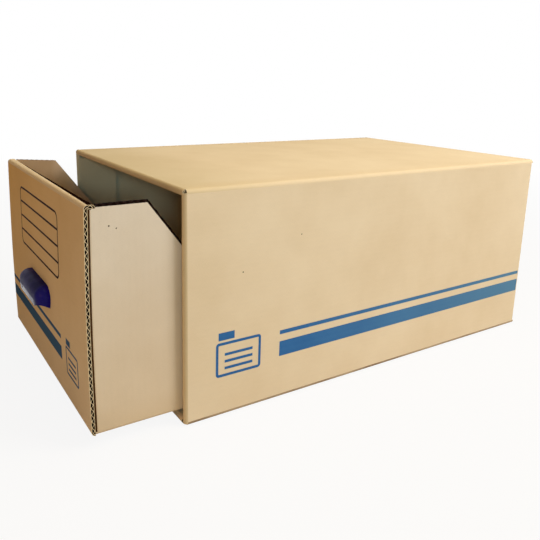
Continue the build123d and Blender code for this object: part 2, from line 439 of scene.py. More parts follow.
# a board piece: two liners and the fluted medium between them
def cutSheet(aSpan, sSpan, aLines, sLines, shape, **parts):
    bm = flatSheet(aSpan, sSpan, **parts)
    keep, cuts = shape or (None, {})
    cutLines(bm, aLines + list(cuts.get("a", ())), sLines + list(cuts.get("s", ())), cuts.get("slant", ()))
    if keep:
        keepFaces(bm, keep)
    return bm


def isRim(f):
    heights = [v.co.z for v in f.verts]
    return max(heights) - min(heights) > tiny["cut"]


linerPapers = {"printed": 0, "inside": 1, "shadedTunnel": 2, "cut": 3}  # a liner's materials in order


def markLiner(bm, seenAt, seen, insideAt):
    for f in bm.faces:
        turned = insideAt and insideAt(*f.calc_center_median().xy)
        if isRim(f):
            f.material_index = linerPapers["cut"]
        elif abs(f.verts[0].co.z - seenAt) > tiny["cut"]:
            f.material_index = linerPapers["shadedTunnel"]
        else:
            f.material_index = linerPapers["inside" if turned else seen]


def pinchEdges(bm, aSpan):
    for v in bm.verts:
        edge = min(v.co.x - aSpan[0], aSpan[1] - v.co.x) / board["pinchReach"]
        v.co.z *= 1.0 - board["pinch"] * max(0.0, 1.0 - edge)


def foldBoard(name, node, body, axis, legs, aSpan, flutes, printed=None, inside=None, cut=None, shape=None,
              printedShape=None, settle=None, innerTo=None, insideAt=None, phase=0.0, pinched=False):
    length = pathLength(legs)
    settle = settle or settlers.get(body)
    aLines = evenLines(*aSpan, board["grain"])
    sLines = pathLines(legs)
    if pinched:
        aLines += [aSpan[0] + board["pinchReach"], aSpan[1] - board["pinchReach"]]
    liners = []
    for seen, low, high, seenAt, sSpan, outline in (
        ("printed", half - board["liner"], half, half, (0.0, length), printedShape or shape),
        ("inside", -half, board["liner"] - half, -half, innerTo or (0.0, length), shape),
    ):
        bm = cutSheet(aSpan, sSpan, aLines, sLines, outline)
        thicken(bm, low, high)
        markLiner(bm, seenAt, seen, insideAt)
        planMap(bm, flutes)
        if pinched:
            pinchEdges(bm, aSpan)
        foldUp(bm, axis, legs, settle)
        liners.append(bm)
    papers = [printed or kraft, inside or innerKraft[body], tunnelShadeKraft, cut or cutKraft]
    finishPiece(joined(liners), name, body, papers, [node])
    wide = length if flutes == "a" else aSpan[1] - aSpan[0]
    parts = max(board["fewestSteps"], round(wide / board["pitch"] * board["waveSteps"]))
    if flutes == "a":
        bm = cutSheet(aSpan, (0.0, length), aLines, [], shape, sParts=parts)
    else:
        bm = cutSheet(aSpan, (0.0, length), [], sLines, shape, aParts=parts)
    thicken(bm, -board["medium"] / 2, board["medium"] / 2)
    for f in bm.faces:
        f.material_index = int(isRim(f))
    planMap(bm, flutes)
    reach = half - board["liner"] - board["medium"] / 2
    for v in bm.verts:
        across = v.co.y if flutes == "a" else v.co.x
        tall = reach * (board["crush"] if inCrease(legs, v.co.y) else 1.0)
        v.co.z += tall * math.sin(2 * math.pi * (across + phase) / board["pitch"])
    if pinched:
        pinchEdges(bm, aSpan)
    foldUp(bm, axis, legs, settle)
    papers = [tunnelShadeKraft, cut or cutKraft]
    finishPiece(bm, name + "Flutes", body, papers, sharp=board["fluteSharp"])


# sleeve
walls = {"sideBow": 0.0008, "topSag": 0.0006, "ripple": 0.0002, "rippleScale": 7.0}


def settleWall(co):
    along = 1.0 - min(1.0, abs(co.y) / backY) ** 2
    up = 1.0 - min(1.0, abs(co.z - sleeveTop / 2) / (sleeveTop / 2)) ** 2
    across = 1.0 - min(1.0, abs(co.x) / sleeveHalf) ** 2
    ripple = walls["ripple"] * noise.noise(co * walls["rippleScale"])
    moved = co.copy()
    outer = abs(co.x) > sleeveHalf - 2 * thick
    moved.x += math.copysign((walls["sideBow"] + ripple) * along * up, co.x) * outer
    moved.z += (ripple - walls["topSag"]) * along * across * (co.z > sleeveTop - 2 * thick)
    return moved


tube = board["tubeRadius"]
foot = board["footRadius"]
wallX = sleeveHalf - half
flatX = wallX - tube
footX = wallX - foot
lowZ = half + foot
highZ = sleeveTop - half - tube
wallRun = highZ - lowZ
rightLegs = foldPath((wallX, highZ), (0, -1), [run(wallRun)])
leftLegs = foldPath((-wallX, lowZ), (0, 1), [run(wallRun)])
topLegs = foldPath((-wallX, highZ), (0, 1), [bend(90, tube), run(2 * flatX), bend(90, tube)])
bottomLegs = foldPath((wallX, lowZ), (0, -1), [bend(90, foot), run(2 * footX), bend(90, foot)])
turnIn = half + board["foldRadius"]  # how far a fold's flat part stops short of the corner
longSpan = (noseY, backY - turnIn)
sideSpan = (noseY, backY - thick - turnIn)
foldBoard("sleeveTop", "sleeve_top_panel", "sleeve", "y", topLegs, longSpan, "a", printed=mouthShadedKraft,
          settle=settleWall)
foldBoard("sleeveBottom", "sleeve_bottom_panel", "sleeve", "y", bottomLegs, longSpan, "a", printed=footShadedKraft)
foldBoard("sleeveRightSide", "sleeve_right_panel", "sleeve", "y", rightLegs, sideSpan, "a", settle=settleWall)
foldBoard("sleeveLeftSide", "sleeve_left_panel", "sleeve", "y", leftLegs, sideSpan, "a", settle=settleWall)
glueLow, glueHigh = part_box("sleeve_glue_flap")
glueLegs = foldPath((glueLow.x + half, glueLow.z), (0, 1), [run(glueHigh.z - glueLow.z)])
foldBoard("glueFlap", "sleeve_glue_flap", "sleeve", "y", glueLegs, (glueLow.y, glueHigh.y), "a")
print("sleeve walls folded")

hem = {"cut": 0.012, "flapInset": 0.004, "topReach": (0.002, 0.002), "bottomReach": (-0.003, -0.003),
       "sideReach": (0.006, 0.005)}


def hemShape(spanA, flapFirst, length, noseReach):
    low = spanA[0] + noseReach[0] + hem["flapInset"]
    high = spanA[1] - noseReach[1] - hem["flapInset"]
    flapLine = hemReach if flapFirst else length - hemReach
    freeEnd = 0.0 if flapFirst else length
    slope = 1.0 if flapFirst else -1.0

    def keep(a, s):
        depth = (flapLine - s) * slope  # how deep in the mouth
        edge = min(a - low, high - a)
        return depth < 0 or (edge > 0 and edge + hemReach - depth > hem["cut"])

    corner = hem["cut"]
    cuts = {
        "a": [low, high],
        "s": [flapLine],
        "slant": [((low + corner, freeEnd, 0), (1, slope, 0)), ((high - corner, freeEnd, 0), (1, -slope, 0))],
    }
    return keep, cuts


def foldHem(hand, axis, legs, spanA, flapFirst, noseReach, printed=None):
    length = pathLength(legs)
    spanA = (spanA[0] - noseReach[0], spanA[1] + noseReach[1])
    flap = (0.0, hemReach) if flapFirst else (length - hemReach, length)
    foldBoard("mouthHem" + hand, "sleeve_hem_" + hand.lower(), "sleeve", axis, legs, spanA, "s",
              printed=printed, shape=hemShape(spanA, flapFirst, length, noseReach), innerTo=flap,
              insideAt=lambda a, s: flap[0] < s < flap[1])


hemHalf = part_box("sleeve_hem_top")[1].x
sideLow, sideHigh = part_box("sleeve_hem_right")
hemEnd = noseY + hemReach
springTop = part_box("sleeve_hem_bottom")[1].z
spring = math.degrees(math.asin((springTop - 2 * thick) / hemReach))
topHem = foldPath((hemEnd, sleeveTop - thick - half), (-1, 0), [run(hemReach), bend(180, half)])
bottomHem = foldPath((noseY, half), (-1, 0), [bend(180 - spring, half), run(hemReach)])
rightHem = foldPath((wallX, noseY), (0, -1), [bend(180, half), run(hemReach)])
leftHem = foldPath((thick - wallX, hemEnd), (0, -1), [run(hemReach), bend(180, half)])
foldHem("Top", "x", topHem, (-hemHalf, hemHalf), True, hem["topReach"], mouthShadedKraft)
foldHem("Bottom", "x", bottomHem, (-hemHalf, hemHalf), False, hem["bottomReach"])
foldHem("Right", "z", rightHem, (sideLow.z, sideHigh.z), False, hem["sideReach"], mouthShadedKraft)
# the far hem's outer face takes the sleeve's greyer inside liner: painted shade
foldHem("Left", "z", leftHem, (sideLow.z, sideHigh.z), True, hem["sideReach"], innerKraft["sleeve"])
print("mouth hems folded")

outerLow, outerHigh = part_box("sleeve_rear_flap_top")
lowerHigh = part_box("sleeve_rear_flap_bottom")[1]
innerLow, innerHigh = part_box("sleeve_rear_flap_right")
innerY = innerHigh.y - half
flapReach = sleeveHalf - turnIn - innerLow.x
topDrop = sleeveTop - turnIn - outerLow.z
topRear = foldPath((backY - turnIn, sleeveTop - half), (1, 0), [bend(90), run(topDrop)])
bottomRear = foldPath((backY - half, lowerHigh.z), (0, -1), [run(lowerHigh.z - turnIn), bend(90)])
rightRear = foldPath((innerLow.x, innerY), (1, 0), [run(flapReach), bend(90)])
leftRear = foldPath((-wallX, innerHigh.y - turnIn), (0, 1), [bend(90), run(flapReach)])
outerSpan = (outerLow.x, outerHigh.x)
innerSpan = (innerLow.z, innerHigh.z)
rearFlaps = {"Top": ("x", topRear, outerSpan), "Bottom": ("x", bottomRear, outerSpan),
             "Right": ("z", rightRear, innerSpan), "Left": ("z", leftRear, innerSpan)}
for flap, (axis, legs, span) in rearFlaps.items():
    node = "sleeve_rear_flap_" + flap.lower()
    foldBoard("rearFlap" + flap, node, "sleeve", axis, legs, span, "s", pinched=axis == "x")
print("rear flaps folded")

# drawer: its front leans back towards the top and a little at the foot
lean = {"top": 0.0024, "foot": 0.0010, "middle": 0.4, "reach": 0.060, "curve": 1.5}


def settleDrawer(co):
    share = (co.z - floorZ) / (rollZ - floorZ) - lean["middle"]
    back = lean["top"] * max(0.0, share / (1.0 - lean["middle"])) ** lean["curve"]
    back += lean["foot"] * max(0.0, -share / lean["middle"]) ** lean["curve"]
    moved = co.copy()
    moved.y += back * max(0.0, 1.0 - (co.y - frontY) / lean["reach"])
    return moved


settlers["drawer"] = settleDrawer
endSpan = (-drawerHalf, drawerHalf)
outerRun = rollZ - floorZ - 2 * turnIn
backRun = backRollZ - floorZ - 2 * turnIn
endDeep = 3 * thick  # an end is two boards with the corner flaps between them
topRun = endDeep - 2 * turnIn
frontLegs = foldPath((frontY + turnIn, floorZ + half), (-1, 0), [bend(90), run(outerRun)])
frontRoll = foldPath((frontY + half, rollZ - turnIn), (0, 1), [bend(90), run(topRun), bend(90)])
backRollY = rearY - endDeep + half
backRoll = foldPath((backRollY, backRollZ - turnIn), (0, 1), [bend(90), run(topRun), bend(90)])
backLegs = foldPath((rearY - half, backRollZ - turnIn), (0, -1), [run(backRun), bend(90)])
foldBoard("drawerFront", "drawer_front_outer", "drawer", "x", frontLegs, endSpan, "a", printed=frontShadedKraft)
# painted shade: a dark band along the roll's rear crease, wider towards the near end
rollShadeBand = {"lead": 0.0038, "share": 0.40}
rearCrease = frontRoll[2]
rollShadeEnd = rearCrease["from"] + rearCrease["length"] * rollShadeBand["share"]
rollShadeRise = (rollShadeEnd - rearCrease["from"] + rollShadeBand["lead"]) / (2 * drawerHalf)


def onRollShade(a, s):
    return rollShadeEnd - rollShadeRise * (a + drawerHalf) < s < rollShadeEnd


rollShadeCuts = {"s": [rollShadeEnd], "slant": [((-drawerHalf, rollShadeEnd, 0), (rollShadeRise, 1, 0))]}
foldBoard("drawerFrontRoll", "drawer_front_roll", "drawer", "x", frontRoll, endSpan, "a",
          shape=(None, rollShadeCuts), inside=rollShadeKraft, insideAt=onRollShade, phase=pathLength(frontLegs))
foldBoard("drawerBackRoll", "drawer_back_roll", "drawer", "x", backRoll, endSpan, "a")
foldBoard("drawerBack", "drawer_back_outer", "drawer", "x", backLegs, endSpan, "a")

tabs = {"width": 0.060, "clear": 0.0005, "placeShare": 0.5}
tabPlace = (drawerHalf - thick) * tabs["placeShare"]
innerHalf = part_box("drawer_front_inner")[1].x


def nearTab(x, grown):
    return abs(abs(x) - tabPlace) < tabs["width"] / 2 + grown


def tabLines(grown):
    reach = tabs["width"] / 2 + grown
    return [hand * tabPlace + way * reach for hand in (-1, 1) for way in (-1, 1)]


def foldInner(end, startY, endTop, up):
    node = f"drawer_{end.lower()}_inner"
    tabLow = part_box(node)[0].z
    tall = endTop - turnIn - tabLow
    legs = foldPath((startY, tabLow if up else endTop - turnIn), (0, 1 if up else -1), [run(tall)])
    deckLine = deckZ - tabLow if up else endTop - turnIn - deckZ

    def keep(a, s):
        return (s > deckLine) == up or nearTab(a, 0)

    shape = (keep, {"a": tabLines(0), "s": [deckLine]})
    foldBoard(f"drawer{end}Inner", node, "drawer", "x", legs, (-innerHalf, innerHalf), "a", shape=shape)


innerIn = endDeep - half  # from an end's outer face to the middle of its inner board
foldInner("Front", frontY + innerIn, rollZ, False)
foldInner("Back", rearY - innerIn, backRollZ, True)

# the sides: shoulder, slant and low rear
side = {
    "shoulder": 0.068, "slope": 53.0, "drop": 0.0002,
    "cutPull": 0.0026,  # how far the cut pulls the printed liner down
    "cornerFold": 0.0016,
    "cornerReach": 0.0028,  # how far a corner fold runs below its flap
    "leftSag": 0.0045,  # the far side's shoulder has sunk at its knee
    "creaseShare": 0.25,  # of a corner bend, from where its seam is painted dark: painted shade in the groove
}
sideTop = rollZ - side["drop"]
sideLowTop = backRollZ - side["drop"]
kneeY = frontY + side["shoulder"]
slant = math.tan(math.radians(side["slope"]))
cornerFold = side["cornerFold"]
cornerTurn = half + cornerFold
cornerY = frontY + thick + cornerTurn
cornerRearY = rearY - thick - cornerTurn
deckSpan = (frontY + turnIn, rearY - turnIn)


def sideShape(right, bendLength, pulled):
    high, low = sideTop - pulled, sideLowTop - pulled
    knee = kneeY - pulled * math.tan(math.radians(side["slope"] / 2))
    sag = 0.0 if right else side["leftSag"]
    notches = (frontY + endDeep, rollZ - thick), (rearY - endDeep, backRollZ - thick)

    def height(s):
        return sideTop - s if right else floorZ + turnIn + s - bendLength

    def place(z):
        return sideTop - z if right else z - floorZ - turnIn + bendLength

    def keep(y, s):
        z = height(s)
        if z < floorZ + turnIn:
            return True
        if y < cornerY or y > cornerRearY:
            return False
        if (y < notches[0][0] and z > notches[0][1]) or (y > notches[1][0] and z > notches[1][1]):
            return False
        sunk = sag * min(1.0, (y - cornerY) / (knee - cornerY))
        return z < low or z < high - sunk - max(0.0, y - knee) * slant

    lines = [notches[0][1], notches[1][1], low, high, floorZ + turnIn]
    cuts = {
        "a": [notches[0][0], notches[1][0], knee, cornerY, cornerRearY],
        "s": [place(z) for z in lines],
        "slant": [((knee, place(high - sag), 0), (slant, -1.0 if right else 1.0, 0)),
                  ((knee, place(high - sag), 0), (place(high - sag) - place(high), cornerY - knee, 0))],
    }
    return keep, cuts


def foldSide(hand):
    right = hand == "Right"
    tall = sideTop - floorZ - turnIn
    if right:
        legs = foldPath((drawerHalf - half, sideTop), (0, -1), [run(tall), bend(90)])
    else:
        legs = foldPath((turnIn - drawerHalf, floorZ + half), (-1, 0), [bend(90), run(tall)])
    bendLength = legs[1]["from"]
    # its raw top edge takes the near-black tunnel colour: painted shade along the cut
    foldBoard(f"drawer{hand}Side", "drawer_side_" + hand.lower(), "drawer", "y", legs, deckSpan, "s",
              printed=drawerSideLitKraft, cut=tunnelShadeKraft, shape=sideShape(right, bendLength, 0.0),
              printedShape=sideShape(right, bendLength, side["cutPull"]))
    return legs


drawerRightLegs = foldSide("Right")
foldSide("Left")

bottomRun = 2 * (drawerHalf - turnIn)
slotEdge = half + tabs["clear"]
slotRows = [frontY + innerIn, rearY - innerIn]


def slotKeep(y, s):
    inRow = any(abs(y - row) < slotEdge for row in slotRows)
    return not (inRow and nearTab(drawerHalf - turnIn - s, tabs["clear"]))


deckLegs = foldPath((drawerHalf - turnIn, floorZ + half), (-1, 0), [run(bottomRun)])
deckCuts = {
    "a": [row + way * slotEdge for row in slotRows for way in (-1, 1)],
    "s": [drawerHalf - turnIn - x for x in tabLines(tabs["clear"])],
}
foldBoard("drawerBottom", "drawer_bottom_panel", "drawer", "y", deckLegs, deckSpan, "s",
          shape=(slotKeep, deckCuts))

flapLow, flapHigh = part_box("drawer_front_flap_right")
backFlapLow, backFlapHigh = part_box("drawer_back_flap_right")
flapRun = drawerHalf - cornerTurn - flapLow.x
cornerX = drawerHalf - half
frontMid = frontY + thick + half
rearMid = rearY - thick - half
cornerLegs = {
    ("Front", "Right"): ((cornerX, cornerY), (0, -1), [bend(90, cornerFold), run(flapRun)]),
    ("Front", "Left"): ((-flapLow.x, frontMid), (-1, 0), [run(flapRun), bend(90, cornerFold)]),
    ("Back", "Right"): ((flapLow.x, rearMid), (1, 0), [run(flapRun), bend(90, cornerFold)]),
    ("Back", "Left"): ((-cornerX, cornerRearY), (0, 1), [bend(90, cornerFold), run(flapRun)]),
}


def foldCorner(name, node, steps, low, high):
    legs = foldPath(*steps)
    length = pathLength(legs)
    if legs[0]["bend"]:
        edge = legs[0]["length"] * side["creaseShare"]
        shadedSpan = (edge, length)
    else:
        edge = length - legs[1]["length"] * side["creaseShare"]
        shadedSpan = (0.0, edge)
    shape = (lambda a, s: a > low or inCrease(legs, s), {"a": [low], "s": [edge]})
    foldBoard(name, node, "drawer", "z", legs, (low - side["cornerReach"], high), "a",
              printed=drawerSideLitKraft, inside=seamShadeKraft, shape=shape,
              insideAt=lambda a, s: shadedSpan[0] < s < shadedSpan[1])


flapSpans = {"Front": (flapLow.z, flapHigh.z), "Back": (backFlapLow.z, backFlapHigh.z)}
for (end, hand), steps in cornerLegs.items():
    node = f"drawer_{end}_flap_{hand}".lower()
    foldCorner("cornerFlap" + end + hand, node, steps, *flapSpans[end])
print("drawer folded")

# ink: thin films laid on the printed faces
ink = {"lift": 0.00002, "film": 0.00006, "grain": 0.02, "cornerSteps": 6,
       "bump": {"Strength": 0.6, "Distance": 0.00005},
       "patch": (0.35, 0.65, 0.0, 0.6), "thin": (0.45, 0.75, 0.0, 0.5), "ridge": 0.15}  # shares worn away


def inkMaterial(name, colour, faded, rough, sheen, litPaling=None):
    material, tree, shader = newMaterial(name, sheen)
    place, paper, ribs = paperNodes(tree)
    patch = rangeNode(tree, paper.outputs["Cloud"], *ink["patch"])
    worn = mathNode(tree, "ADD", patch, rangeNode(tree, paper.outputs["Fibre"], *ink["thin"]))
    bare = mathNode(tree, "ADD", mathNode(tree, "MULTIPLY", ribs.outputs["Ridge"], ink["ridge"]), worn, True)
    inked = mixColour(tree, bare, colour, faded)
    if litPaling:
        along = addNode(tree, "ShaderNodeSeparateXYZ", Vector=place).outputs["Y"]
        paled = rangeNode(tree, along, *litPaling["span"], 0.0, litPaling["share"])
        inked = mixColour(tree, paled, inked, litPaling["tone"])
    tree.links.new(inked, shader.inputs["Base Color"])
    paperFinish(tree, shader, paper, rough, paper.outputs["Fibre"], ink["bump"])
    return material


sideStripeLight = {"span": (-0.17, 0.30), "share": 0.7, "tone": srgb(96, 134, 148)}  # painted light: paler towards the rear, where more light falls
blueInk = inkMaterial("blueInk", srgb(42, 90, 143), srgb(58, 108, 155), rough=0.6, sheen=0.06,
                      litPaling=sideStripeLight)
# painted light: a greyer copy of the side's blue ink, toned for the warm shade on the front
frontLitBlueInk = inkMaterial("frontLitBlueInk", srgb(64, 96, 134), srgb(76, 108, 144), rough=0.6, sheen=0.0)
brownInk = inkMaterial("brownInk", srgb(30, 10, 8), srgb(44, 20, 14), rough=0.65, sheen=0.02)


def layInk(bm, name, body, axis, legs, material, flutes, settle=None):
    thicken(bm, half + ink["lift"], half + ink["lift"] + ink["film"])
    planMap(bm, flutes)
    foldUp(bm, axis, legs, settle or settlers.get(body))
    finishPiece(bm, name, body, [material])


def inkStripe(name, body, legs, aSpan, sSpan, material, axis, settle=None, rise=0.0):
    bm = flatSheet(aSpan, sSpan)
    cutLines(bm, evenLines(*aSpan, ink["grain"]), [])
    for v in bm.verts:
        v.co.y -= rise * (v.co.x - aSpan[0]) / (aSpan[1] - aSpan[0])
    layInk(bm, name, body, axis, legs, material, "a", settle)


def roundOutline(bm, corner, line):
    bmesh.ops.bevel(bm, geom=bm.verts[:], offset=corner, affect="VERTICES", segments=ink["cornerSteps"],
                    profile=0.5, material=-1)
    middle = bm.faces[:]
    bmesh.ops.inset_region(bm, faces=middle, thickness=line, use_boundary=True, use_even_offset=True)
    bmesh.ops.delete(bm, geom=middle, context="FACES")
    return bm


# the stripes were printed a little out of square with the wall
sideStripes = {"from": -0.1745, "margin": 0.0005, "rise": 0.0021,
               "Thin": (0.0842, 0.0892), "Wide": (0.0559, 0.0751)}
for label in ("Thin", "Wide"):
    low, high = sideStripes[label]
    sSpan = (highZ - high, highZ - low)
    reach = (sideStripes["from"], sideSpan[1] - sideStripes["margin"])
    inkStripe("sideStripe" + label, "sleeve", rightLegs, reach, sSpan, blueInk, "y", settleWall,
              sideStripes["rise"])

frontBase = floorZ + turnIn - frontLegs[1]["from"]  # height of s = 0 on the drawer's front
frontStripes = {"to": 0.0772, "Thin": (0.0860, 0.0910), "Wide": (0.0597, 0.0763)}
for label in ("Thin", "Wide"):
    low, high = frontStripes[label]
    sSpan = (low - frontBase, high - frontBase)
    reach = (-drawerHalf, frontStripes["to"])
    inkStripe("frontStripe" + label, "drawer", frontLegs, reach, sSpan, frontLitBlueInk, "x")

labelBox = {"left": -0.1040, "right": 0.0835, "low": 0.1572, "high": 0.2357, "corner": 0.010,
            "line": 0.0026, "rules": (0.1773, 0.1964, 0.2156)}
halfLine = labelBox["line"] / 2
labelRows = (labelBox["low"] - frontBase, labelBox["high"] - frontBase)
bm = flatSheet((labelBox["left"], labelBox["right"]), labelRows)
outline = roundOutline(bm, labelBox["corner"], labelBox["line"])
layInk(outline, "labelOutline", "drawer", "x", frontLegs, brownInk, "a")
for number, rule in enumerate(labelBox["rules"]):
    sSpan = (rule - halfLine - frontBase, rule + halfLine - frontBase)
    aSpan = (labelBox["left"] + halfLine, labelBox["right"] - halfLine)
    inkStripe(f"labelRule{number + 1}", "drawer", frontLegs, aSpan, sSpan, brownInk, "x")

# a plain folder sign: its tab, outline and rows as shares of its width and height
folderSign = {"tab": 0.16, "tabWide": 0.40, "tabGap": 0.8, "corner": 0.07, "line": 0.055,
              "rows": (0.24, 0.44, 0.64), "rowWide": 0.62}


def signSheet(wide, tall, centre, up):
    line = wide * folderSign["line"]

    def patch(left, right, low, high):
        rows = sorted((centre[1] + up * low, centre[1] + up * high))
        return flatSheet((centre[0] + left, centre[0] + right), rows)

    rim = tall * (0.5 - folderSign["tab"]) - line
    panel = roundOutline(patch(-wide / 2, wide / 2, -tall / 2, rim), wide * folderSign["corner"], line)
    tabEnd = wide * (folderSign["tabWide"] - 0.5)
    tab = patch(-wide / 2 + line, tabEnd, rim + line * folderSign["tabGap"], tall / 2)
    reach = wide * folderSign["rowWide"] / 2
    rows = [rim - (rim + tall / 2) * (1 - share) for share in folderSign["rows"]]
    return joined([panel, tab] + [patch(-reach, reach, row - line / 2, row + line / 2) for row in rows])


sideSign = {"wide": 0.060, "tall": 0.054, "y": -0.2313, "z": 0.0764}
frontSign = {"wide": 0.046, "tall": 0.044, "x": 0.1190, "z": 0.0735}
sign = signSheet(sideSign["wide"], sideSign["tall"], (sideSign["y"], highZ - sideSign["z"]), -1)
layInk(sign, "sideFolderSign", "sleeve", "y", rightLegs, blueInk, "a", settleWall)
sign = signSheet(frontSign["wide"], frontSign["tall"], (frontSign["x"], frontSign["z"] - frontBase), 1)
layInk(sign, "frontFolderSign", "drawer", "x", frontLegs, frontLitBlueInk, "a")

# small stains: place along, height and radius
stains = {"around": 10,
          "sleeve": [(-0.1476, 0.2050, 0.0007), (-0.2274, 0.1708, 0.0008)],
          "drawer": [(-0.3767, 0.2385, 0.0008), (-0.3690, 0.2354, 0.0007)]}
for body, legs, top in (("sleeve", rightLegs, highZ), ("drawer", drawerRightLegs, sideTop)):
    bm = bmesh.new()
    for y, z, radius in stains[body]:
        spot = Matrix.Translation((y, top - z, 0))
        bmesh.ops.create_circle(bm, cap_ends=True, segments=stains["around"], radius=radius, matrix=spot)
    layInk(bm, body + "Stains", body, "y", legs, brownInk, "a", settleWall if body == "sleeve" else None)
print("ink laid")

# pull
pull = {"width": 0.107, "height": 0.030, "depth": 0.017, "wall": 0.002, "lipRise": 0.0028, "round": 0.0139,
        "roundSteps": 10, "post": 0.008, "peg": 0.005, "around": 32, "pegSpacing": 0.0599, "pegRise": 0.009,
        "taper": 0.09, "taperCurve": 2, "endDrop": 0.25, "endFlat": 0.15, "endCurve": 3, "cheekLift": 0.0115,
        "lipBand": 0.0100, "lipTuck": 0.0005, "polishedEnd": 0.020, "polishFade": 0.012, "endPolish": 0.10,
        "lipPolish": 0.65}
# painted reflection: the cup's body is a greyer, mottled slate, while its ends are clear navy
plastic = {"specular": 0.02, "coatRough": 0.05, "rough": (0.3, 0.7, 0.32, 0.50), "sheenMottle": (0.40, 0.60),
           "slateSheen": (srgb(22, 16, 68), srgb(36, 30, 86)), "clear": (srgb(21, 13, 100), srgb(29, 19, 122)),
           "bump": {"Strength": 0.15, "Distance": 0.0001}}
cupLow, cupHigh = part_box("pull_cup")
cupMiddle = Vector(((cupLow.x + cupHigh.x) / 2, frontY, cupLow.z))


def pullMaterial():
    material, tree, shader = newMaterial("navyPlastic", plastic["specular"])
    shader.inputs["Coat Roughness"].default_value = plastic["coatRough"]
    place = addNode(tree, "ShaderNodeTexCoord").outputs["Object"]
    axes = addNode(tree, "ShaderNodeSeparateXYZ", Vector=place)
    cloud = addNode(tree, "ShaderNodeTexNoise", {"Scale": 60.0, "Detail": 3.0}, Vector=place)
    pores = addNode(tree, "ShaderNodeTexNoise", {"Scale": 900.0, "Detail": 2.0}, Vector=place)
    sheenMottle = addNode(tree, "ShaderNodeTexNoise", {"Scale": 70.0, "Detail": 2.0}, Vector=place)
    mottledSheen = rangeNode(tree, sheenMottle.outputs["Fac"], *plastic["sheenMottle"])
    glossFrom = pull["width"] / 2 - pull["polishedEnd"]
    off = mathNode(tree, "ABSOLUTE", mathNode(tree, "SUBTRACT", axes.outputs["X"], cupMiddle.x), None)
    atEnd = rangeNode(tree, off, glossFrom, glossFrom + pull["polishFade"])
    sheenedBody = mixColour(tree, mottledSheen, *plastic["slateSheen"])
    clear = mixColour(tree, cloud.outputs["Fac"], *plastic["clear"])
    tree.links.new(mixColour(tree, atEnd, sheenedBody, clear), shader.inputs["Base Color"])
    tree.links.new(rangeNode(tree, cloud.outputs["Fac"], *plastic["rough"]), shader.inputs["Roughness"])
    # fingers have kept the lip and the ends polished
    ends = mathNode(tree, "MULTIPLY", atEnd, pull["endPolish"])
    front = rangeNode(tree, atEnd, 0.0, 1.0, pull["lipPolish"], 0.0)
    lipTop = cupMiddle.z + pull["lipBand"]
    lip = rangeNode(tree, axes.outputs["Z"], lipTop - pull["wall"] / 2, lipTop + pull["wall"] / 2, 1.0, 0.0)
    polish = mathNode(tree, "MAXIMUM", ends, mathNode(tree, "MULTIPLY", front, lip))
    tree.links.new(polish, shader.inputs["Coat Weight"])
    relief = addNode(tree, "ShaderNodeBump", plastic["bump"], Height=pores.outputs["Fac"])
    tree.links.new(relief.outputs["Normal"], shader.inputs["Normal"])
    return material


navyPlastic = pullMaterial()


def addRod(bm, x, z, radius, fromY, toY):
    turned = Matrix.Rotation(math.radians(90), 4, "X")
    place = Matrix.Translation((x, (fromY + toY) / 2, z)) @ turned
    bmesh.ops.create_cone(bm, cap_ends=True, segments=pull["around"], radius1=radius, radius2=radius,
                          depth=toY - fromY, matrix=place)


def makePull():
    bm = bmesh.new()
    bmesh.ops.create_cube(bm, size=1.0)
    bmesh.ops.translate(bm, verts=bm.verts, vec=(0, -0.5, 0.5))
    bmesh.ops.scale(bm, verts=bm.verts, vec=(pull["width"], pull["depth"], pull["height"]))
    outer = [e for e in bm.edges if sum(v.co.y for v in e.verts) < -tiny["pull"]
             and sum(v.co.z for v in e.verts) > tiny["pull"]]
    bmesh.ops.bevel(bm, geom=outer, offset=pull["round"], affect="EDGES", segments=pull["roundSteps"],
                    profile=0.5, material=-1)
    openFaces = [f for f in bm.faces if all(abs(v.co.y) < tiny["pull"] for v in f.verts)]
    bmesh.ops.delete(bm, geom=openFaces, context="FACES")
    lip = Vector((0, pull["lipRise"], pull["depth"])).normalized()
    cutAt(bm, (0, 0, 0), -lip, clear_outer=True)
    cutAt(bm, (0, 0, pull["lipBand"]), (0, 0, 1))
    bmesh.ops.remove_doubles(bm, verts=bm.verts, dist=tiny["pull"])
    for v in bm.verts:
        low = max(0.0, 1.0 - v.co.z / pull["lipBand"])
        v.co.y *= 1.0 - low * pull["lipTuck"] / pull["depth"]
        cheek = max(0.0, 1.0 - (pull["width"] / 2 - abs(v.co.x)) / pull["round"])
        v.co.z -= pull["cheekLift"] * cheek * low * v.co.y / pull["depth"]
        end = abs(2 * v.co.x / pull["width"]) ** pull["endCurve"]
        v.co.x *= 1.0 - pull["taper"] * (1.0 - v.co.z / pull["height"]) ** pull["taperCurve"]
        v.co.z *= 1.0 - pull["endDrop"] * end
        v.co.y *= 1.0 - pull["endFlat"] * end
    bmesh.ops.recalc_face_normals(bm, faces=bm.faces)
    bmesh.ops.solidify(bm, geom=bm.faces[:], thickness=pull["wall"])
    plateY = thick + half
    for way in (-0.5, 0.5):
        x = way * pull["pegSpacing"]
        addRod(bm, x, pull["pegRise"], pull["post"] / 2, pull["wall"] / 2 - pull["depth"], 0.0)
        addRod(bm, x, pull["pegRise"], pull["peg"] / 2, -pull["wall"] / 2, plateY)
        addRod(bm, x, pull["pegRise"], pull["post"] / 2, plateY, cupHigh.y - frontY)
    bmesh.ops.translate(bm, verts=bm.verts, vec=cupMiddle)
    finishPiece(bm, "pullCup", "drawer", [navyPlastic], ["pull_cup"])


makePull()
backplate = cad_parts["pull_backplate"]
backplate.data.materials.clear()
backplate.data.materials.append(navyPlastic)
print("pull made")

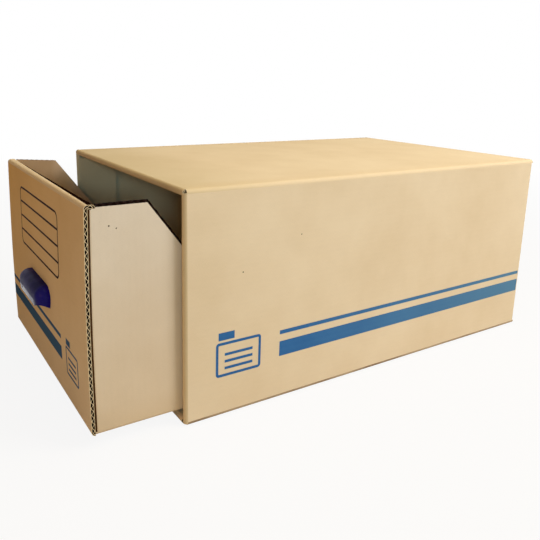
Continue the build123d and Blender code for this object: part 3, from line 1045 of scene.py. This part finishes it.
# floor, light and camera
studio = {"floorSize": 14.0, "floorTone": (0.62, 0.53, 0.42, 1.0), "floorRough": 0.9, "floorSpecular": 0.1,
          "floorGlow": 0.90, "fade": (0.6, 2.2), "skyLight": 0.02}


def seenDirectly(tree):
    path = addNode(tree, "ShaderNodeLightPath")
    seen = mathNode(tree, "MAXIMUM", path.outputs["Is Camera Ray"], path.outputs["Is Glossy Ray"])
    return mathNode(tree, "MAXIMUM", seen, path.outputs["Is Transmission Ray"])


def floorMaterial():
    material, tree, shader = newMaterial("paleFloor", studio["floorSpecular"])
    shader.inputs["Base Color"].default_value = studio["floorTone"]
    shader.inputs["Roughness"].default_value = studio["floorRough"]
    glow = addNode(tree, "ShaderNodeEmission")
    mix = tree.nodes.new("ShaderNodeMixShader")
    place = addNode(tree, "ShaderNodeTexCoord").outputs["Object"]
    away = addNode(tree, "ShaderNodeVectorMath", {"operation": "LENGTH"}, Vector=place)
    fade = rangeNode(tree, away.outputs["Value"], *studio["fade"], studio["floorGlow"], 1.0)
    tree.links.new(mathNode(tree, "MULTIPLY", seenDirectly(tree), fade), mix.inputs[0])
    tree.links.new(shader.outputs[0], mix.inputs[1])
    tree.links.new(glow.outputs[0], mix.inputs[2])
    tree.links.new(mix.outputs[0], tree.nodes["Material Output"].inputs["Surface"])
    return material


bm = bmesh.new()
bmesh.ops.create_grid(bm, x_segments=1, y_segments=1, size=studio["floorSize"] / 2)
floorMesh = bpy.data.meshes.new("floor")
bm.to_mesh(floorMesh)
bm.free()
floorMesh.materials.append(floorMaterial())
floor = bpy.data.objects.new("floor", floorMesh)
scene.collection.objects.link(floor)

world = bpy.data.worlds.new("studio")
scene.world = world
world.use_nodes = True
tree = world.node_tree
sky = tree.nodes["Background"]
sky.inputs["Color"].default_value = (1, 1, 1, 1)
glow = rangeNode(tree, seenDirectly(tree), 0.0, 1.0, studio["skyLight"], 1.0)
tree.links.new(glow, sky.inputs["Strength"])


def addLamp(name, place, target, size, power, colour):
    lamp = bpy.data.lights.new(name, "AREA")
    lamp.shape = "RECTANGLE"
    lamp.size, lamp.size_y = size
    lamp.energy = power
    lamp.color = colour
    holder = bpy.data.objects.new(name, lamp)
    holder.location = place
    holder.rotation_euler = (Vector(target) - Vector(place)).to_track_quat("-Z", "Y").to_euler()
    scene.collection.objects.link(holder)


lamps = {
    "keyLight": {"place": (1.30, 1.05, 1.60), "target": (0.05, 0.0, 0.15), "size": (1.0, 1.0), "power": 48.0,
                 "colour": (0.80, 0.87, 1.0)},
    "overhead": {"place": (0.5, 0.35, 2.4), "target": (0.0, 0.0, 0.2), "size": (1.6, 1.6), "power": 30.0,
                 "colour": (1.0, 0.88, 0.50)},
    "frontFill": {"place": (2.58, -1.26, 0.74), "target": (-0.1, -0.25, 0.2), "size": (0.3, 0.3),
                  "power": 14.0, "colour": (0.58, 0.86, 1.0)},
    "warmFill": {"place": (0.55, -1.9, 0.75), "target": (0, -0.35, 0.15), "size": (1.0, 1.0), "power": 5.8,
                 "colour": (1.0, 0.60, 0.32)},
}
for name, lamp in lamps.items():
    addLamp(name, **lamp)

view = {"azimuth": 56.8507, "elevation": 13.0004, "roll": 1.3716, "place": (0.73330, -0.56107, 0.38076),
        "focalPx": 597.597, "centrePx": (260.188, 217.675), "framePx": 540.0, "sensor": 36.0, "nearest": 0.01}
turn, lift, roll = (math.radians(view[key]) for key in ("azimuth", "elevation", "roll"))
backward = Vector((math.sin(turn) * math.cos(lift), -math.cos(turn) * math.cos(lift), math.sin(lift)))
right = Vector((math.cos(turn), math.sin(turn), 0))
upward = backward.cross(right)
rightRolled = right * math.cos(roll) + upward * math.sin(roll)
upRolled = upward * math.cos(roll) - right * math.sin(roll)
camera = bpy.data.cameras.new("camera")
camera.sensor_width = view["sensor"]
camera.lens = view["focalPx"] / view["framePx"] * view["sensor"]
camera.shift_x = (view["framePx"] / 2 - view["centrePx"][0]) / view["framePx"]
camera.shift_y = (view["centrePx"][1] - view["framePx"] / 2) / view["framePx"]
camera.clip_start = view["nearest"]
cameraRig = bpy.data.objects.new("camera", camera)
facing = Matrix((rightRolled, upRolled, backward)).transposed().to_4x4()
cameraRig.matrix_world = Matrix.Translation(view["place"]) @ facing
scene.collection.objects.link(cameraRig)
scene.camera = cameraRig
scene.view_settings.view_transform = "Standard"
print("studio set")
